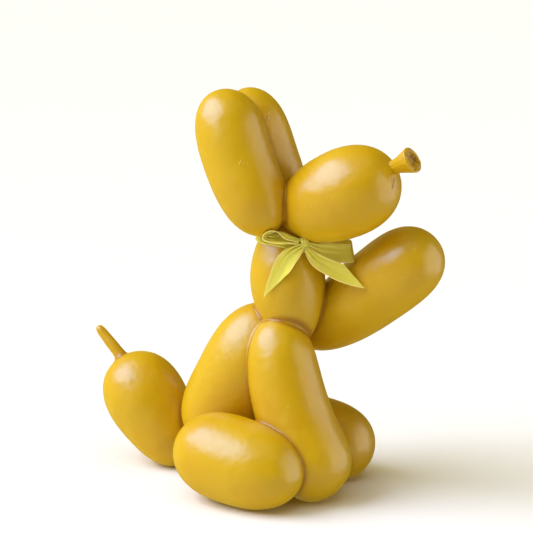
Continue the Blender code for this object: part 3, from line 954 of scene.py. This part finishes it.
def makeRibbon(dog):
    skin = skinOf(dog)
    grids = [collarGrid(skin), knotGrid()]
    grids += [stripGrid(rows, skin) for rows in (rightLoop, leftLoop, rightTail, leftTail)]
    bow = layCloth("ribbonBow", grids, lemonCloth())
    edges = makeEdges("ribbonEdges", grids, edgeThreadLook())
    print("ribbon", len(bow.data.polygons), "faces, its edges", len(edges.data.polygons))
    for grid in grids:
        length = np.linalg.norm(np.diff(grid, axis=0), axis=2).sum(axis=0).mean() * 1000
        width = np.linalg.norm(np.diff(grid, axis=1), axis=2).sum(axis=1).mean() * 1000
        print("  a strip", round(length, 1), "mm long, its width over the folds", round(width, 1), "mm")
    return bow, edges


dog = makeDog()
mouthPiece = makeMouth(dog.data.materials[0])
addMarks(dog.data.materials[0], [skinOf(dog), skinOf(mouthPiece)])
bow, edges = makeRibbon(dog)

for piece in (dog, mouthPiece):
    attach(piece, "root")
    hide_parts("balloon_dog")
for piece in (bow, edges):
    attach(piece, "root")
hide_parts("ribbon")


# The studio: a pale floor, a soft key from the upper left and broad dim light from the right and above

studio = {
    # soft lamps: azimuth, elevation and width in degrees, power, colour
    "windowSoft": (-57, 43, 45, 2.65, (0.94, 1.01, 1.18)),
    "wallSoft": (108, -2, 60, 0.5, (1.0, 0.92, 0.80)),
    "ceilingSoft": (10, 76, 60, 1.0, (0.97, 1.0, 1.0)),
    # what the paint mirrors: azimuth, elevation, width and height in degrees, brightness, colour
    "windowShine": (-52, 42, 62, 46, 7.8, (0.16, 0.42, 1.0)),
    "wallShine": (110, 6, 64, 60, 1.8, (0.93, 1.0, 1.0)),
    # the world: azimuth, elevation, how far from there its glow reaches and how far it is full, colour
    "surroundings": (-75, -5, (96, 37), (0.71, 0.62, 0.18)),
    "darkness": (0.20, 0.165, 0.025),
    "panelDistance": 1.5,
}

floor = {
    "size": 40.0,  # from its middle to its edges
    "tones": (3.0, (0.89, 0.87, 0.94), (0.90, 0.88, 0.95)),  # scale of its changes, and the colours
    "roughness": 0.9,
}


def direction(azimuth, elevation):
    turn, rise = math.radians(azimuth), math.radians(elevation)
    return Vector((math.sin(turn) * math.cos(rise), -math.cos(turn) * math.cos(rise), math.sin(rise)))


def aimAtFigure(name, data, azimuth, elevation, distance):
    item = newObject(name, data)
    back = direction(azimuth, elevation)
    item.location = Vector(viewer["target"]) + back * distance
    item.rotation_mode = "QUATERNION"
    item.rotation_quaternion = (-back).to_track_quat("-Z", "Y")
    return item


def makeCamera():
    camera = bpy.data.cameras.new("camera")
    camera.sensor_width = viewer["sensorWidth"]
    camera.lens = viewer["focalPixels"] / viewer["framePixels"] * viewer["sensorWidth"]
    camera.clip_start = viewer["clipStart"]
    bpy.context.scene.camera = aimAtFigure("camera", camera, *viewer["angles"], viewer["distance"])


def hangLamp(name, lamp, azimuth, elevation):
    item = aimAtFigure(name, lamp, azimuth, elevation, studio["panelDistance"])
    item.visible_camera = False
    return item


def makeSoftLamp(name):
    azimuth, elevation, width, power, colour = studio[name]
    lamp = bpy.data.lights.new(name, "SUN")
    lamp.angle = math.radians(width)
    lamp.energy = power
    lamp.color = colour
    hangLamp(name, lamp, azimuth, elevation).visible_glossy = False


def makeShinePanel(name):
    azimuth, elevation, width, height, brightness, colour = studio[name]
    lamp = bpy.data.lights.new(name, "AREA")
    lamp.shape = "RECTANGLE"
    reach = 2 * studio["panelDistance"]
    lamp.size, lamp.size_y = (reach * math.tan(math.radians(angle / 2)) for angle in (width, height))
    lamp.energy = brightness * lamp.size * lamp.size_y * math.pi
    lamp.color = colour
    hangLamp(name, lamp, azimuth, elevation).visible_diffuse = False


def makeFloor():
    size = floor["size"]
    corners = [(-size, -size, 0), (size, -size, 0), (size, size, 0), (-size, size, 0)]
    item = newObject("floor", newMesh("floor", corners, [], [(0, 1, 2, 3)]))
    made, tree, shader = newMaterial("paleFloor")
    where = addNode(tree, "ShaderNodeTexCoord").outputs["Object"]
    scale, first, second = floor["tones"]
    tree.links.new(mixColour(tree, noise(tree, where, scale), first, second), shader["Base Color"])
    setShader(shader, {"Roughness": floor["roughness"]})
    item.data.materials.append(made)
    item.visible_glossy = False
    item.visible_shadow = False


def makeWorld():
    world = bpy.data.worlds.new("studio")
    world.use_nodes = True
    tree = world.node_tree
    where = addNode(tree, "ShaderNodeTexCoord").outputs["Generated"]
    azimuth, elevation, edges, colour = studio["surroundings"]
    towards = dotProduct(tree, where, direction(azimuth, elevation))
    share = stretch(tree, towards, *(math.cos(math.radians(edge)) for edge in edges))
    glow = vectorCalc(tree, "ADD", studio["darkness"], scaled(tree, colour, share))
    tree.links.new(glow, tree.nodes["Background"].inputs["Color"])
    bpy.context.scene.world = world


makeCamera()
for name in ("windowSoft", "wallSoft", "ceilingSoft"):
    makeSoftLamp(name)
for name in ("windowShine", "wallShine"):
    makeShinePanel(name)
makeFloor()
makeWorld()
bpy.context.scene.view_settings.view_transform = "Standard"
print("studio set")
